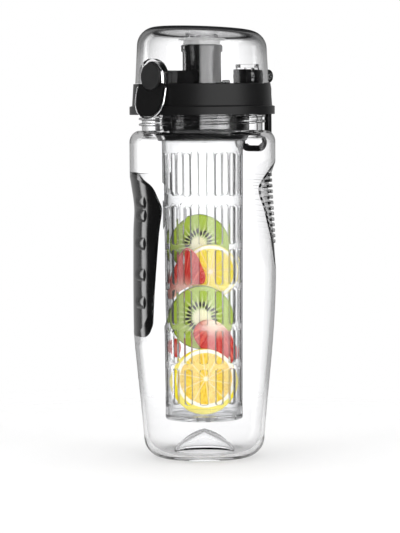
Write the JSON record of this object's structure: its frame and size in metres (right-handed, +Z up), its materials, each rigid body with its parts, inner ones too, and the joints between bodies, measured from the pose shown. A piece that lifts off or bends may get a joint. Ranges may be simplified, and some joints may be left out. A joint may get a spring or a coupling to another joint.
{
  "type": "fruit infuser water bottle",
  "caption": "Clear screw-top water bottle with a slotted fruit infuser, a hinged clear cap over its drinking spout, a push latch, a wire bail, a carry loop and a soft finger grip.",
  "frame": {"origin": "middle of the foot ring, on the surface that the bottle stands on", "axes": "+Z up along the bottle's axis, -X towards the latch, +X towards the cap hinge and the carry loop, +Y to the left of someone who faces the latch"},
  "size_m": [0.0983, 0.0904, 0.2675],
  "materials": {
    "clear_plastic": "clear, polished",
    "black_plastic": "satin black",
    "black_rubber": "smooth black",
    "clear_silicone": "milky, soft",
    "steel_wire": "bright wire",
    "lemon": "wet fruit flesh",
    "kiwi": "wet fruit flesh",
    "strawberry": "wet fruit flesh"
  },
  "bodies": {
    "bottle": {"bottle_body": "clear_plastic", "finger_grip": "black_rubber"},
    "neck_ring": {"neck_seal": "clear_silicone"},
    "lid": {"lid_collar": "black_plastic", "lid_deck": "black_plastic", "spout": "black_plastic", "vent_valve": "black_rubber", "latch_housing": "black_plastic", "hinge_pin": "steel_wire", "hinge_spring": "steel_wire", "button_spring": "steel_wire"},
    "cap": {"flip_cap": "clear_plastic", "spout_seal": "clear_silicone"},
    "button": {"latch_button": "black_rubber"},
    "bail": {"wire_bail": "steel_wire"},
    "loop": {"carry_loop": "black_plastic"},
    "infuser": {"infuser_collar": "black_plastic", "infuser_seal": "clear_silicone", "infuser_basket": "clear_plastic", "infuser_base": "clear_plastic", "kiwi_slice_lower": "kiwi", "kiwi_slice_upper": "kiwi", "lemon_slice_lower": "lemon", "lemon_slice_upper": "lemon", "strawberry_half_lower": "strawberry", "strawberry_half_upper": "strawberry", "strawberry_piece": "strawberry"}
  },
  "joints": [
    {"name": "lid_lift", "type": "slide", "parent": "bottle", "child": "neck_ring", "axis": [0, 0, 1], "range_m": [0, 0.215]},
    {"name": "lid_turn", "type": "hinge", "parent": "neck_ring", "child": "lid", "pos_m": [0, 0, 0.213], "axis": [0, 0, 1], "range_deg": [0, 540]},
    {"name": "cap_hinge", "type": "hinge", "parent": "lid", "child": "cap", "pos_m": [0.046, 0, 0.2365], "axis": [0, 1, 0], "range_deg": [0, 130], "deforming": ["hinge_spring"]},
    {"name": "button_press", "type": "slide", "parent": "lid", "child": "button", "axis": [1, 0, 0], "range_m": [0, 0.0015], "stiffness_N_per_m": 400, "deforming": ["button_spring"]},
    {"name": "bail_swing", "type": "hinge", "parent": "lid", "child": "bail", "pos_m": [-0.0432, 0, 0.23], "axis": [0, 1, 0], "range_deg": [0, 172]},
    {"name": "loop_swing", "type": "hinge", "parent": "lid", "child": "loop", "pos_m": [0.046, 0, 0.2365], "axis": [0, -1, 0], "range_deg": [0, 183]},
    {"name": "infuser_turn", "type": "hinge", "parent": "lid", "child": "infuser", "pos_m": [0, 0, 0.205], "axis": [0, 0, 1], "range_deg": [0, 360]}
  ]
}
